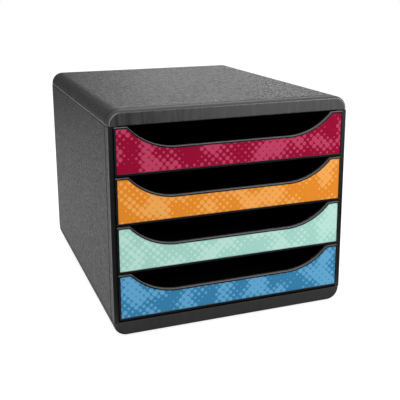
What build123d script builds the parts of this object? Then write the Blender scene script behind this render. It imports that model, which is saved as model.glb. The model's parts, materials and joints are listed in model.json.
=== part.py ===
from build123d import *
from math import acos, degrees, sqrt
import os

os.makedirs("parts", exist_ok=True)

# Desktop cabinet with four sliding drawers, in millimetres.
# The width runs along X, the fronts face -Y, and the feet stand on Z = 0.

# Case, without its feet and without the drawer fronts that stand out of it
case_width = 278.0
case_depth = 344.0
case_height = 248.0

# Top cover and base, two shells that mirror each other
shell_height = 15.8
shell_wall = 2.5
roll_radius = 15.0
edge_round = 3.0
shell_rib_thickness = 1.6
shell_rib_height = 3.0
shell_rib_pitch_x = 44.0
shell_rib_pitch_y = 62.0

# Line that parts the grained skin from the smooth band round the front
band_depth = 12.5
groove_width = 1.4
groove_depth = 0.8

# Lap joint between the shells and the panels
rim_wall = 1.6
tongue_height = 3.0
lap_clearance = 0.1
seam_gap = 0.2
seam_chamfer = 0.6
seam_round = 1.0

# Side panels and back panel
panel_thickness = 3.0
back_thickness = 2.5
back_recess = 1.8
back_rib_thickness = 1.6
back_rib_reach = 2.1
back_lip_reach = 1.0
back_field_margin = 22.0
back_field_depth = 0.8

# Runner frames, which stand inside the side panels and cap their front edges
panel_gap = 0.2
web_thickness = 2.0
strip_thickness = 2.0
strip_round = 1.0
flange_width = 19.0
flange_thickness = 2.0
flange_step = 1.8
rail_reach = 6.0
rail_thickness = 2.4
guide_thickness = 2.0
rail_setback = 2.0

# Posts that join the frames to the top cover, and screws that join them to the base
post_inset = 13.0
post_end_distance = 36.0
peg_radius = 3.0
peg_end_gap = 1.5
peg_clearance = 0.02
socket_wall = 2.0
screw_radius = 1.75
screw_length = 11.0
screw_clearance = 0.25
screw_pilot_clearance = 0.02
screw_head_radius = 3.4
screw_head_height = 2.4
screw_head_clearance = 0.4
screw_shoulder = 6.0
screw_slot_width = 0.9
screw_slot_length = 4.0
screw_slot_depth = 1.2
frame_boss_height = 4.5
frame_boss_radius = 4.0

# Rubber feet, pressed into pockets in the base
foot_height = 2.0
foot_pocket = 2.0
foot_radius = 9.0
foot_clearance = 0.1
foot_round = 0.8
foot_pad_wall = 2.5
foot_inset_x = 26.0
foot_inset_y = 26.0

# Drawers, from the top one down
drawer_colours = ("crimson", "orange", "mint", "blue")
drawer_proud = 3.0
drawer_gap = 1.8
drawer_top_gap = 0.9
drawer_sill_gap = 3.3
drawer_side_gap = 0.9
front_depth = 6.0
front_wall = 2.6
front_return = 1.8
front_corner = 1.2
front_edge_round = 0.6

# Finger scoop in the top edge of each drawer front
ear_width = 14.0
ear_round = 3.0
scoop_run = 53.0
scoop_depth = 24.0

# Tray behind each drawer front
tray_wall = 1.8
tray_floor_rise = 1.2
tray_drop = 6.7
tray_side_gap = 0.9
tray_corner = 3.0
tray_rear_gap = 0.3
slide_gap = 0.1
lift_gap = 0.3

# Stops that end the drawer's travel
stop_setback = 38.5
stop_length = 4.0
stop_height = 7.0
stop_reach = 4.8
stop_gap = 0.3
rear_stop_length = 2.0
lug_setback = 32.7
lug_length = 4.0
lug_height = 6.0
lug_reach = 4.6
lug_drop = 0.5

# Coloured insert in each drawer front
insert_thickness = 1.0
insert_recess = 1.6
insert_clearance = 0.15
rim_side = 1.6
rim_top = 1.8
rim_bottom = 2.4
insert_corner = 0.6
insert_peg_radius = 1.5
insert_peg_clearance = 0.05
insert_peg_length = 2.0
insert_peg_count = 4
insert_peg_pitch = 64.0

# Planes of the case
half_width = case_width / 2
rear_y = (case_depth + drawer_proud) / 2
front_y = rear_y - case_depth
face_y = front_y - drawer_proud
base_z = foot_height
top_z = base_z + case_height
sill_z = base_z + shell_height
lintel_z = top_z - shell_height
middle_z = (base_z + top_z) / 2
ceiling_z = top_z - shell_wall
floor_z = base_z + shell_wall
panel_inner_x = half_width - panel_thickness

# Planes of the back panel and of the ribs that hold it
back_outer_y = rear_y - back_recess
back_inner_y = back_outer_y - back_thickness
back_rib_y = back_inner_y - lap_clearance - back_rib_thickness

# Planes of the runner frames
web_outer_x = panel_inner_x - panel_gap
web_inner_x = web_outer_x - web_thickness
rail_tip_x = web_inner_x - rail_reach
frame_front_y = front_y + shell_wall + seam_gap
frame_rear_y = back_rib_y - seam_gap
upper_flange_z = lintel_z + flange_step
lower_flange_z = sill_z - flange_step
socket_foot_z = upper_flange_z + flange_thickness
post_top_z = lower_flange_z - flange_thickness
post_x = web_outer_x - post_inset
post_rows = (front_y + post_end_distance, (front_y + rear_y) / 2, rear_y - post_end_distance)
socket_radius = peg_radius + peg_clearance + socket_wall

# Planes of the drawers
opening_height = lintel_z - sill_z
stack_height = opening_height - drawer_top_gap - drawer_sill_gap
front_pitch = (stack_height + drawer_gap) / len(drawer_colours)
front_height = front_pitch - drawer_gap
front_half_width = web_inner_x - drawer_side_gap
front_back_y = face_y + front_depth
scoop_radius = (scoop_run**2 + scoop_depth**2) / (2 * scoop_depth)
scoop_flat_half = front_half_width - ear_width - scoop_run
tray_half_width = rail_tip_x - tray_side_gap
tray_front_y = face_y + insert_recess + front_wall
rear_stop_y = frame_rear_y - rear_stop_length
tray_rear_y = rear_stop_y - tray_rear_gap
tray_height = front_height - tray_drop
rail_front_y = front_back_y + rail_setback
rail_top = tray_height - flange_thickness - slide_gap
rail_bottom = rail_top - rail_thickness
guide_bottom = tray_height + lift_gap
guide_top = guide_bottom + guide_thickness
stop_y = front_y + stop_setback
lug_front_y = tray_rear_y - lug_setback - lug_length
drawer_travel = lug_front_y - stop_y - stop_gap
drawer_floors = [
    lintel_z - drawer_top_gap - front_height - row * front_pitch
    for row in range(len(drawer_colours))
]


def upright(y, z=0.0):
    """Return the plane at depth y that faces the front, with its origin at height z."""
    return Plane(origin=(0, y, z), x_dir=(1, 0, 0), z_dir=(0, -1, 0))


def block(x_span, y_span, z_span, mode=Mode.ADD):
    """Add or cut a block between two values along X, Y and Z."""
    centre = tuple((low + high) / 2 for low, high in (x_span, y_span, z_span))
    with Locations(centre):
        Box(x_span[1] - x_span[0], y_span[1] - y_span[0], z_span[1] - z_span[0], mode=mode)


def cover_outline(y, inset):
    """Return the front view of the top cover, drawn in by inset but open at its lower edge."""
    half = half_width - inset
    low = lintel_z
    high = top_z - inset
    corner = min(roll_radius, shell_height - seam_round - seam_gap) - inset
    with BuildSketch(upright(y)) as outline:
        with BuildLine():
            Line((0, low), (half, low))
            Line((half, low), (half, high - corner))
            CenterArc((half - corner, high - corner), corner, 0, 90)
            Line((half - corner, high), (0, high))
            mirror(about=Plane.YZ)
        make_face()
    return outline.sketch


def front_outline(y, z, side_inset, bottom_inset, top_inset, corner):
    """Return the scooped outline of a drawer front at height z, drawn in by three insets."""
    half = front_half_width - side_inset
    high = front_height - top_inset
    dip = high - scoop_depth
    radius = scoop_radius + top_inset
    reach = sqrt(radius**2 - (radius - scoop_depth) ** 2)
    sweep = degrees(acos((radius - scoop_depth) / radius))
    with BuildSketch(upright(y, z)) as outline:
        with BuildLine():
            Line((0, bottom_inset), (half, bottom_inset))
            Line((half, bottom_inset), (half, high))
            Line((half, high), (scoop_flat_half + reach, high))
            CenterArc((scoop_flat_half, dip + radius), radius, -90, sweep)
            Line((scoop_flat_half, dip), (0, dip))
            mirror(about=Plane.YZ)
        make_face()
        fillet(outline.vertices().group_by(Axis.Y)[0], corner)
        fillet(outline.vertices().group_by(Axis.Y)[-1].sort_by(Axis.X)[1:3], ear_round)
        tips = outline.vertices().group_by(Axis.Y)[-1].sort_by(Axis.X)
        fillet([tips[0], tips[-1]], corner)
    return outline.sketch


# Shell shared by the top cover and the base, drawn as the top cover
outer = cover_outline(front_y, 0)
cavity = cover_outline(front_y + shell_wall, shell_wall)
groove_outside = cover_outline(front_y + band_depth, -groove_depth)
groove_inside = cover_outline(front_y + band_depth, groove_depth)
cavity_depth = case_depth - 2 * shell_wall

with BuildPart() as groove_ring:
    extrude(groove_outside, amount=-groove_width)
    extrude(groove_inside, amount=-groove_width, mode=Mode.SUBTRACT)

with BuildPart() as shell:
    extrude(outer, amount=-case_depth)
    front_rim = shell.faces().sort_by(Axis.Y)[0].edges()
    rear_rim = shell.faces().sort_by(Axis.Y)[-1].edges()
    fillet(front_rim.sort_by(Axis.Z)[1:] + rear_rim.sort_by(Axis.Z)[1:], edge_round)
    extrude(cavity, amount=-cavity_depth, mode=Mode.SUBTRACT)
    # The rim is thinner where the tongues of the panels lap inside it
    block(
        (rim_wall - half_width, half_width - rim_wall),
        (front_y + shell_wall, rear_y - rim_wall),
        (lintel_z, lintel_z + tongue_height + seam_gap),
        mode=Mode.SUBTRACT,
    )
    # The outer lower edge is rounded all the way round, which opens the seam
    rim_face = shell.faces().sort_by(Axis.Z)[0]
    fillet(rim_face.outer_wire().edges(), seam_round)
    add(groove_ring.part, mode=Mode.SUBTRACT)
    # Stiffening ribs under the plate
    rib_columns = int((case_width - 2 * flange_width) / shell_rib_pitch_x)
    rib_rows = int(cavity_depth / shell_rib_pitch_y)
    with BuildSketch(Plane.XY.offset(ceiling_z)):
        with Locations((0, (front_y + rear_y) / 2)):
            with GridLocations(shell_rib_pitch_x, 1, rib_columns, 1):
                Rectangle(shell_rib_thickness, cavity_depth)
            with GridLocations(1, shell_rib_pitch_y, 1, rib_rows):
                Rectangle(2 * (half_width - roll_radius), shell_rib_thickness)
    extrude(amount=-shell_rib_height)

# Top cover, with sockets that press onto the pegs of the runner frames
post_places = [(side * post_x, y) for side in (-1, 1) for y in post_rows]
with BuildPart() as top_cover:
    add(shell.part)
    with BuildSketch(Plane.XY.offset(socket_foot_z)):
        with Locations(post_places):
            Circle(socket_radius)
    extrude(amount=ceiling_z - socket_foot_z)
    with BuildSketch(Plane.XY.offset(socket_foot_z)):
        with Locations(post_places):
            Circle(peg_radius + peg_clearance)
    extrude(amount=ceiling_z - socket_foot_z, mode=Mode.SUBTRACT)
top_cover.part.label = "top_cover"
export_step(top_cover.part, "parts/top_cover.step")

# Base, with screw posts and with pockets for the feet
screw_places = [(side * post_x, y) for side in (-1, 1) for y in (post_rows[0], post_rows[-1])]
foot_x = half_width - foot_inset_x
foot_y = case_depth / 2 - foot_inset_y
foot_names = {
    "front_left_foot": (-foot_x, (front_y + rear_y) / 2 - foot_y),
    "front_right_foot": (foot_x, (front_y + rear_y) / 2 - foot_y),
    "rear_left_foot": (-foot_x, (front_y + rear_y) / 2 + foot_y),
    "rear_right_foot": (foot_x, (front_y + rear_y) / 2 + foot_y),
}
shoulder_z = post_top_z - screw_shoulder
with BuildPart() as base_tray:
    add(shell.part)
    mirror(about=Plane.XY.offset(middle_z), mode=Mode.REPLACE)
    with BuildSketch(Plane.XY.offset(floor_z)):
        with Locations(screw_places):
            Circle(screw_head_radius + screw_head_clearance + socket_wall)
    extrude(amount=post_top_z - floor_z)
    with BuildSketch(Plane.XY.offset(floor_z)):
        with Locations(*foot_names.values()):
            Circle(foot_radius + foot_pad_wall)
    extrude(amount=base_z + foot_pocket + foot_pad_wall - floor_z)
    with BuildSketch(Plane.XY.offset(base_z)):
        with Locations(screw_places):
            Circle(screw_head_radius + screw_head_clearance)
    extrude(amount=shoulder_z - base_z, mode=Mode.SUBTRACT)
    with BuildSketch(Plane.XY.offset(base_z)):
        with Locations(screw_places):
            Circle(screw_radius + screw_clearance)
    extrude(amount=post_top_z - base_z, mode=Mode.SUBTRACT)
    with BuildSketch(Plane.XY.offset(base_z)):
        with Locations(*foot_names.values()):
            Circle(foot_radius + foot_clearance)
    extrude(amount=foot_pocket, mode=Mode.SUBTRACT)
base_tray.part.label = "base_tray"
export_step(base_tray.part, "parts/base_tray.step")

# Screws, driven up through the base into the runner frames
with BuildPart() as base_screws:
    with BuildSketch(Plane.XY.offset(shoulder_z)):
        with Locations(screw_places):
            Circle(screw_head_radius)
    extrude(amount=-screw_head_height)
    fillet(base_screws.edges().group_by(Axis.Z)[0], screw_head_height / 3)
    with BuildSketch(Plane.XY.offset(shoulder_z)):
        with Locations(screw_places):
            Circle(screw_radius)
    extrude(amount=screw_length)
    chamfer(base_screws.edges().group_by(Axis.Z)[-1], screw_radius / 2)
    with BuildSketch(Plane.XY.offset(shoulder_z - screw_head_height)):
        with Locations(screw_places):
            Rectangle(screw_slot_length, screw_slot_width)
            Rectangle(screw_slot_width, screw_slot_length)
    extrude(amount=screw_slot_depth, mode=Mode.SUBTRACT)
base_screws.part.label = "base_screws"
export_step(base_screws.part, "parts/base_screws.step")

# Rubber feet
for name, (x, y) in foot_names.items():
    with BuildPart() as foot:
        with BuildSketch() as pad:
            with Locations((x, y)):
                Circle(foot_radius)
        extrude(amount=foot_height + foot_pocket)
        fillet(foot.edges().group_by(Axis.Z)[0], foot_round)
    foot.part.label = name
    export_step(foot.part, f"parts/{name}.step")

# Side panels: a plate with a tongue along its top and bottom, and ribs that hold the back panel
panel_front_y = front_y + strip_thickness + lap_clearance
tongue_front_y = front_y + shell_wall + seam_gap
tongue_rear_y = rear_y - rim_wall - seam_gap
tongue_x = (panel_inner_x, half_width - rim_wall - lap_clearance)
panel_z = (sill_z + seam_gap, lintel_z - seam_gap)
with BuildPart() as right_side_panel:
    block((panel_inner_x, half_width), (panel_front_y, rear_y), panel_z)
    outer_edges = right_side_panel.faces().sort_by(Axis.X)[-1].edges().filter_by(Axis.Y)
    chamfer(outer_edges, seam_chamfer)
    groove_y = (front_y + band_depth, front_y + band_depth + groove_width)
    block((half_width - groove_depth, half_width), groove_y, panel_z, mode=Mode.SUBTRACT)
    block(tongue_x, (tongue_front_y, tongue_rear_y), (sill_z - tongue_height, lintel_z + tongue_height))
    block(
        (panel_inner_x - back_rib_reach, panel_inner_x),
        (back_rib_y, back_rib_y + back_rib_thickness),
        panel_z,
    )
    block(
        (panel_inner_x - back_lip_reach, panel_inner_x),
        (back_outer_y + lap_clearance, rear_y),
        panel_z,
    )
right_side_panel.part.label = "right_side_panel"
export_step(right_side_panel.part, "parts/right_side_panel.step")

with BuildPart() as left_side_panel:
    add(right_side_panel.part)
    mirror(about=Plane.YZ, mode=Mode.REPLACE)
left_side_panel.part.label = "left_side_panel"
export_step(left_side_panel.part, "parts/left_side_panel.step")

# Back panel, which slides down between the ribs of the side panels
back_half_width = panel_inner_x - panel_gap
with BuildPart() as back_panel:
    block(
        (-back_half_width, back_half_width),
        (back_inner_y, back_outer_y),
        (sill_z - tongue_height, lintel_z + tongue_height),
    )
    with BuildSketch(upright(back_outer_y, middle_z)):
        RectangleRounded(
            2 * (back_half_width - back_field_margin),
            opening_height - 2 * back_field_margin,
            back_field_margin / 2,
        )
    extrude(amount=back_field_depth, mode=Mode.SUBTRACT)
back_panel.part.label = "back_panel"
export_step(back_panel.part, "parts/back_panel.step")

# Runner frames: a web with flanges, rails and stops, and the dark strip beside the drawers
with BuildPart() as right_runner_frame:
    with BuildSketch(upright(frame_front_y)):
        flange_x = web_outer_x - flange_width
        low_left = (Align.MIN, Align.MIN)
        with Locations((web_inner_x, post_top_z)):
            Rectangle(web_thickness, socket_foot_z - post_top_z, align=low_left)
        with Locations((flange_x, post_top_z), (flange_x, upper_flange_z)):
            Rectangle(flange_width, flange_thickness, align=low_left)
    extrude(amount=frame_front_y - frame_rear_y)
    with BuildSketch(upright(rail_front_y)):
        for floor in drawer_floors:
            with Locations((rail_tip_x, floor + rail_bottom)):
                Rectangle(rail_reach, rail_thickness, align=low_left)
            with Locations((rail_tip_x, floor + guide_bottom)):
                Rectangle(rail_reach, guide_thickness, align=low_left)
    extrude(amount=rail_front_y - frame_rear_y)
    for floor in drawer_floors:
        block(
            (web_inner_x - stop_reach, web_inner_x),
            (stop_y - stop_length, stop_y),
            (floor + rail_bottom - stop_height, floor + rail_bottom),
        )
        block(
            (rail_tip_x, web_inner_x),
            (rear_stop_y, frame_rear_y),
            (floor + rail_bottom, floor + guide_top),
        )
    strip_z = (sill_z + seam_gap, lintel_z - seam_gap)
    block((web_inner_x, web_outer_x), (front_y, frame_front_y), strip_z)
    block((web_inner_x, half_width), (front_y, front_y + strip_thickness), strip_z)
    outer_corner = right_runner_frame.edges().filter_by(Axis.Z).sort_by(Axis.X).group_by(Axis.X)[-1]
    fillet(outer_corner.sort_by(Axis.Y)[0], strip_round)
    with BuildSketch(Plane.XY.offset(socket_foot_z)):
        with Locations(*[(post_x, y) for y in post_rows]):
            Circle(peg_radius)
    extrude(amount=ceiling_z - socket_foot_z - peg_end_gap)
    chamfer(right_runner_frame.edges().group_by(Axis.Z)[-1], peg_radius / 5)
    with BuildSketch(Plane.XY.offset(lower_flange_z)):
        with Locations((post_x, post_rows[0]), (post_x, post_rows[-1])):
            Circle(frame_boss_radius)
    extrude(amount=frame_boss_height)
    with BuildSketch(Plane.XY.offset(post_top_z)):
        with Locations((post_x, post_rows[0]), (post_x, post_rows[-1])):
            Circle(screw_radius + screw_pilot_clearance)
    extrude(amount=flange_thickness + frame_boss_height, mode=Mode.SUBTRACT)
right_runner_frame.part.label = "right_runner_frame"
export_step(right_runner_frame.part, "parts/right_runner_frame.step")

with BuildPart() as left_runner_frame:
    add(right_runner_frame.part)
    mirror(about=Plane.YZ, mode=Mode.REPLACE)
left_runner_frame.part.label = "left_runner_frame"
export_step(left_runner_frame.part, "parts/left_runner_frame.step")

# Drawers: a tray with a scooped front, and the coloured insert pegged into the front
recess_floor_y = face_y + insert_recess
peg_height = (front_height - scoop_depth) / 2
for colour, floor in zip(drawer_colours, drawer_floors):
    front = front_outline(face_y, floor, 0, 0, 0, front_corner)
    hollow = front_outline(tray_front_y, floor, front_return, front_return, front_return, insert_corner)
    recess = front_outline(face_y, floor, rim_side, rim_bottom, rim_top, insert_corner)
    with BuildPart() as tray:
        extrude(front, amount=-front_depth)
        rim = tray.faces().sort_by(Axis.Y)[0]
        fillet(rim.edges(), front_edge_round)
        extrude(hollow, amount=tray_front_y - front_back_y, mode=Mode.SUBTRACT)
        extrude(recess, amount=-insert_recess, mode=Mode.SUBTRACT)
        # Section of the tray: floor, two walls, and a flange on each wall that runs on the rail
        with BuildSketch(upright(tray_front_y, floor)) as section:
            with BuildLine():
                inner = tray_half_width - tray_wall
                bottom = tray_floor_rise
                Line((0, bottom), (tray_half_width, bottom))
                Line((tray_half_width, bottom), (tray_half_width, tray_height - flange_thickness))
                Line(
                    (tray_half_width, tray_height - flange_thickness),
                    (front_half_width, tray_height - flange_thickness),
                )
                Line((front_half_width, tray_height - flange_thickness), (front_half_width, tray_height))
                Line((front_half_width, tray_height), (inner, tray_height))
                Line((inner, tray_height), (inner, bottom + tray_wall))
                Line((inner, bottom + tray_wall), (0, bottom + tray_wall))
                mirror(about=Plane.YZ)
            make_face()
            levels = section.vertices().group_by(Axis.Y)
            fillet(levels[0] + levels[1], tray_corner)
        extrude(amount=tray_front_y - tray_rear_y)
        block(
            (-tray_half_width + tray_corner / 3, tray_half_width - tray_corner / 3),
            (tray_rear_y - tray_wall, tray_rear_y),
            (floor + tray_floor_rise + tray_corner / 3, floor + tray_height),
        )
        for side in (-1, 1):
            lug_x = sorted((side * tray_half_width, side * (tray_half_width + lug_reach)))
            lug_top = floor + rail_bottom - lug_drop
            block(lug_x, (lug_front_y, lug_front_y + lug_length), (lug_top - lug_height, lug_top))
        with BuildSketch(upright(recess_floor_y, floor)):
            with Locations((0, peg_height)):
                with GridLocations(insert_peg_pitch, 1, insert_peg_count, 1):
                    Circle(insert_peg_radius + insert_peg_clearance)
        extrude(amount=-front_wall, mode=Mode.SUBTRACT)
    tray.part.label = f"{colour}_drawer_tray"
    export_step(tray.part, f"parts/{colour}_drawer_tray.step")

    plate = front_outline(
        recess_floor_y,
        floor,
        rim_side + insert_clearance,
        rim_bottom + insert_clearance,
        rim_top + insert_clearance,
        insert_corner,
    )
    with BuildPart() as insert:
        extrude(plate, amount=insert_thickness)
        with BuildSketch(upright(recess_floor_y, floor)):
            with Locations((0, peg_height)):
                with GridLocations(insert_peg_pitch, 1, insert_peg_count, 1):
                    Circle(insert_peg_radius)
        extrude(amount=-insert_peg_length)
    insert.part.label = f"{colour}_front_insert"
    export_step(insert.part, f"parts/{colour}_front_insert.step")

print("drawer pitch", round(front_pitch, 3), "front height", round(front_height, 3))
print("drawer travel", round(drawer_travel, 3), "floors", [round(floor, 3) for floor in drawer_floors])
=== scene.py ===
# %% [markdown]
# # A desktop drawer box
# The object is a small cabinet of moulded plastic with four sliding drawers. Its shapes, sizes
# and joints come from a finished CAD model, which is loaded here as a fixed frame. Blender adds
# what CAD does not hold: the finish of every surface, the threaded screws, the light and the view.
# Keeping the CAD meshes where their shape is right means that nothing has to be fitted afterwards.

# %% Load the CAD model as the fixed frame
import json
import math

import bpy
import bmesh
from mathutils import Matrix, Vector


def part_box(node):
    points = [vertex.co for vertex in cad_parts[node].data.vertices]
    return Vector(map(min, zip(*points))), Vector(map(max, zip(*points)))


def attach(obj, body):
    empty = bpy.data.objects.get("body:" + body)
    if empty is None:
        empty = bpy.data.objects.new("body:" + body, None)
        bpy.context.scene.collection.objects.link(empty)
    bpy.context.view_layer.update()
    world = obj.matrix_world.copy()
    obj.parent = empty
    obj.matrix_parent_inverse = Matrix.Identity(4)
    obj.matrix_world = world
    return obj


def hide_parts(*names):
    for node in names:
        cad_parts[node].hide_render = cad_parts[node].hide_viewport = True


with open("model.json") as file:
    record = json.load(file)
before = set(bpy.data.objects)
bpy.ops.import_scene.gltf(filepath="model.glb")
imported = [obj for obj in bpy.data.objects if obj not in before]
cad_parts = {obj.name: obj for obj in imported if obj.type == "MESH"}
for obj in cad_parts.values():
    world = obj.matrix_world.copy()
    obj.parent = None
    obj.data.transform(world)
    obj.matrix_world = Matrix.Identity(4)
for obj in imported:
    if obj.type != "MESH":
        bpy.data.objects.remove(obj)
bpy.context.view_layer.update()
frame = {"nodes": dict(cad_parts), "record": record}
nodes = frame["nodes"]

# %% [markdown]
# ## Millimetres and colours
# The frame is in metres, but moulds, screws and print are drawn in millimetres, so sizes below
# are written as `12.5 * MM`. Colours are written as sRGB hex values, the way a paint chart or a
# picture editor shows them. Shaders work in linear light, so one function turns one into the other.

# %% Units and colours
MM = 0.001


def linear(hex_colour):
    """Return the linear RGBA of an sRGB colour such as "3a3a3c"."""
    parts = [int(hex_colour[i:i + 2], 16) / 255 for i in (0, 2, 4)]
    light = [p / 12.92 if p <= 0.04045 else ((p + 0.055) / 1.055) ** 2.4 for p in parts]
    return (*light, 1.0)


print("mid grey in linear light:", [round(v, 3) for v in linear("808080")])

# %% [markdown]
# ## The camera
# The photograph looks from the front left and from a little above. A camera that looks down
# makes upright edges lean together. The photograph's edges are nearly parallel, so part of the
# downward view comes from a lens shift, as with an architect's camera, and the rest from a tilt.

# %% The camera
SENSOR_WIDTH = 36.0
FOCAL_LENGTH = 64.4
LENS_SHIFT = -0.12
CAMERA_PLACE = Vector((-0.2986, -0.8668, 0.3760))
CAMERA_TURN = 20.42
CAMERA_TILT = 13.34
CAMERA_ROLL = 0.26

camera = bpy.data.objects.new("camera", bpy.data.cameras.new("camera"))
bpy.context.scene.collection.objects.link(camera)
camera.data.sensor_width = SENSOR_WIDTH
camera.data.lens = FOCAL_LENGTH
camera.data.shift_y = LENS_SHIFT
camera.matrix_world = (
    Matrix.Translation(CAMERA_PLACE)
    @ Matrix.Rotation(math.radians(-CAMERA_TURN), 4, "Z")
    @ Matrix.Rotation(math.radians(90 - CAMERA_TILT), 4, "X")
    @ Matrix.Rotation(math.radians(-CAMERA_ROLL), 4, "Z")
)
bpy.context.scene.camera = camera
bpy.context.scene.view_settings.view_transform = "Standard"

# %% [markdown]
# ## Building node trees
# Every material below is a small tree of nodes. One helper adds a node, sets its properties and
# fills its inputs, either with plain values or with what comes out of earlier nodes, so that each
# tree reads from top to bottom like a recipe. A node that is given as an input means its first
# output. Noise textures shape most of the recipes, and their values gather round one half, so the
# part of their range that is used has a name for each end.

# %% Helpers for node trees
NOISE_LOW = 0.3
NOISE_HIGH = 0.7


def add_node(tree, kind, inputs=None, **settings):
    """Add a node. Its inputs take plain values, sockets, nodes, or lists of sockets and nodes."""
    node = tree.nodes.new(kind)
    for name, value in settings.items():
        setattr(node, name, value)
    for name, value in (inputs or {}).items():
        for source in value if isinstance(value, list) else [value]:
            if isinstance(source, bpy.types.Node):
                source = source.outputs[0]
            if isinstance(source, bpy.types.NodeSocket):
                tree.links.new(source, node.inputs[name])
            else:
                node.inputs[name].default_value = source
    return node


def new_material(name):
    """Return an empty material and its node tree."""
    material = bpy.data.materials.new(name)
    material.use_nodes = True
    material.node_tree.nodes.clear()
    return material, material.node_tree


print("noise is used from", NOISE_LOW, "to", NOISE_HIGH)

# %% [markdown]
# ## The studio
# Product pictures of dark plastic are taken in a white room with large soft lamps: the lamps
# shape the object, and the room gives the white background. Here the world is plain white to
# the camera and in reflections, and a softer ambient light for everything else. The Light Path
# node tells the two apart, so the background is white without more light on the object. The floor
# needs the same test, so a function adds it.

# %% The world
AMBIENT = 0.42


def shown_to_eye(tree):
    """Return 1 for rays that come from the camera, a mirror or glass, and 0 for all others."""
    path = add_node(tree, "ShaderNodeLightPath")
    mirrored = add_node(tree, "ShaderNodeMath", {
        0: path.outputs["Is Glossy Ray"], 1: path.outputs["Is Transmission Ray"],
    }, operation="MAXIMUM")
    return add_node(tree, "ShaderNodeMath", {
        0: path.outputs["Is Camera Ray"], 1: mirrored,
    }, operation="MAXIMUM")


world = bpy.data.worlds.new("white studio")
bpy.context.scene.world = world
world.use_nodes = True
tree = world.node_tree
tree.nodes.clear()
shown = shown_to_eye(tree)
ambient = add_node(tree, "ShaderNodeBackground", {"Color": linear("ffffff"), "Strength": AMBIENT})
backdrop = add_node(tree, "ShaderNodeBackground", {"Color": linear("ffffff"), "Strength": 1.0})
mix = add_node(tree, "ShaderNodeMixShader", {0: shown, 1: ambient, 2: backdrop})
add_node(tree, "ShaderNodeOutputWorld", {"Surface": mix})
print("ambient strength:", AMBIENT)

# %% [markdown]
# The floor is a sheet of matt white board. It has to look as white as the room and still keep
# the object's shadow. So to the camera it is a steady white that a shadow does not reach, with a
# thin share of real board added, which a shadow darkens.

# %% The floor
FLOOR_RADIUS = 3.0
FLOOR_CORNERS = 96
BOARD_WHITE = "e4e4e4"
BOARD_SHOWN = "a4a4a4"
STEADY_WHITE = 0.83

floor_mesh = bpy.data.meshes.new("studio_floor")
shape = bmesh.new()
bmesh.ops.create_circle(shape, cap_ends=True, radius=FLOOR_RADIUS, segments=FLOOR_CORNERS)
shape.to_mesh(floor_mesh)
shape.free()
floor = bpy.data.objects.new("studio_floor", floor_mesh)
bpy.context.scene.collection.objects.link(floor)

board, tree = new_material("matt white board")
shown = shown_to_eye(tree)
plain = add_node(tree, "ShaderNodeBsdfDiffuse", {"Color": linear(BOARD_WHITE)})
dim = add_node(tree, "ShaderNodeBsdfDiffuse", {"Color": linear(BOARD_SHOWN)})
steady = add_node(tree, "ShaderNodeEmission", {"Color": linear("ffffff"), "Strength": STEADY_WHITE})
bright = add_node(tree, "ShaderNodeAddShader", {0: dim, 1: steady})
mix = add_node(tree, "ShaderNodeMixShader", {0: shown, 1: plain, 2: bright})
add_node(tree, "ShaderNodeOutputMaterial", {"Surface": mix})
floor_mesh.materials.append(board)
print("floor radius in m:", FLOOR_RADIUS)

# %% [markdown]
# Soft boxes light the case. A large one overhead and one above the front give the even light.
# The small one stands near the front right, so the fronts grow lighter towards that side. The
# low one behind puts a sheen on the top, which mirrors it at a flat angle. The narrow strip on
# the left draws a thin bright line where the cover's rolled edge turns to the front.

# %% The lamps
LAMPS = {
    # name: (place, aimed at, width, height, watts)
    "overhead_softbox": ((0.10, 0.10, 1.40), (0.0, 0.0, 0.2), 1.4, 1.2, 9.0),
    "front_softbox": ((-0.10, -1.60, 1.20), (0.0, -0.1, 0.15), 1.2, 0.8, 8.0),
    "front_right_softbox": ((0.52, -0.66, 0.62), (0.1, -0.1, 0.2), 0.4, 0.4, 3.6),
    "rear_right_softbox": ((1.00, 2.20, 0.50), (0.0, 0.0, 0.25), 1.0, 0.5, 3.5),
    "left_strip_light": ((-1.10, -0.15, 0.95), (-0.1, -0.1, 0.2), 0.3, 0.7, 5.0),
}

for name, (place, target, width, height, watts) in LAMPS.items():
    lamp = bpy.data.objects.new(name, bpy.data.lights.new(name, "AREA"))
    bpy.context.scene.collection.objects.link(lamp)
    lamp.data.shape = "RECTANGLE"
    lamp.data.size = width
    lamp.data.size_y = height
    lamp.data.energy = watts
    lamp.location = place
    lamp.rotation_mode = "QUATERNION"
    lamp.rotation_quaternion = (Vector(target) - Vector(place)).to_track_quat("-Z", "Y")
    lamp.visible_camera = False
    print(name, "at", place, "with", watts, "W")

# %% [markdown]
# Black plastic looks black only if it has something dark to mirror. Photographers put sheets of
# black cloth just outside the picture for that. One hangs behind the case on the left: the
# rolled edge mirrors it, and stands out against the white. One lies on the floor in front, where
# the frames and the trays mirror it, and one hangs in front on the left. The left end of the
# cover's glossy front mirrors those two, and its right end looks past them at the white floor. A
# black sheet under the case is a painted shadow: it stands in for the shade where the case meets
# the floor, and the lowest edges mirror it as a dark line. The cloths only show in reflections
# here, and cast no shadow.

# %% The black cloths
CLOTH_BLACK = "060606"
CLOTHS = {
    # name: corners of the cloth
    "rear_left_cloth": [(-1.60, 1.05, 0.01), (0.05, 1.05, 0.01),
                        (0.05, 1.05, 1.60), (-1.60, 1.05, 1.60)],
    "front_floor_cloth": [(-0.60, -0.21, 0.001), (-0.60, -2.40, 0.001), (0.34, -2.40, 0.001),
                          (0.37, -1.08, 0.001), (1.30, -1.08, 0.001), (1.30, -0.21, 0.001)],
    "front_left_cloth": [(-0.60, -1.60, 0.01), (0.40, -1.60, 0.01),
                         (0.40, -1.60, 0.80), (-0.60, -1.60, 0.80)],
    # A black sheet where the case meets the floor: painted shadow, seen only in reflections.
    "contact_shadow_sheet": [(-0.142, -0.20, 0.001), (0.150, -0.20, 0.001),
                       (0.150, 0.19, 0.001), (-0.142, 0.19, 0.001)],
}

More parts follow.
